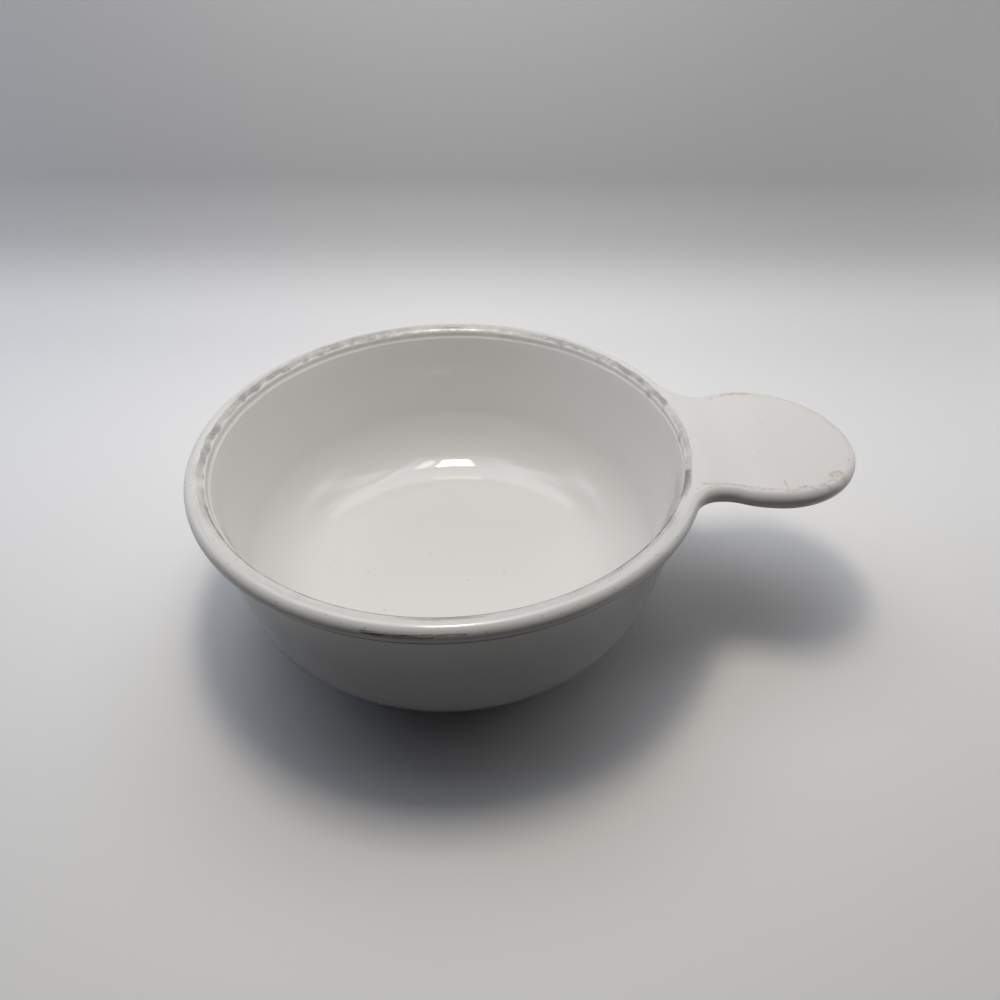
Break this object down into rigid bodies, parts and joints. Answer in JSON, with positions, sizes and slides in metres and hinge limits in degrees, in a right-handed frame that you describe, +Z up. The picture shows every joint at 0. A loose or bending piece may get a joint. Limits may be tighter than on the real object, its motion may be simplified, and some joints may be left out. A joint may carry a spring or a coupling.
{
  "type": "lug soup bowl",
  "caption": "Round soup bowl with a rounded rim bead, a shallow lid ledge inside it, a low foot ring and a flat rounded lug handle level with the rim.",
  "frame": {"origin": "on the bowl's axis, in the plane that the foot ring rests on", "axes": "+X from the bowl's axis along the middle of the lug, +Z up out of the bowl's mouth"},
  "size_m": [0.182, 0.14, 0.0545],
  "materials": {
    "white_glass_ceramic": "glossy opaque white, with grey cutlery marks and a few stains on the rim and lug"
  },
  "bodies": {
    "root": {"bowl_shell": "white_glass_ceramic", "rim_ring": "white_glass_ceramic", "lug_handle": "white_glass_ceramic", "foot_ring": "white_glass_ceramic"}
  },
  "joints": []
}
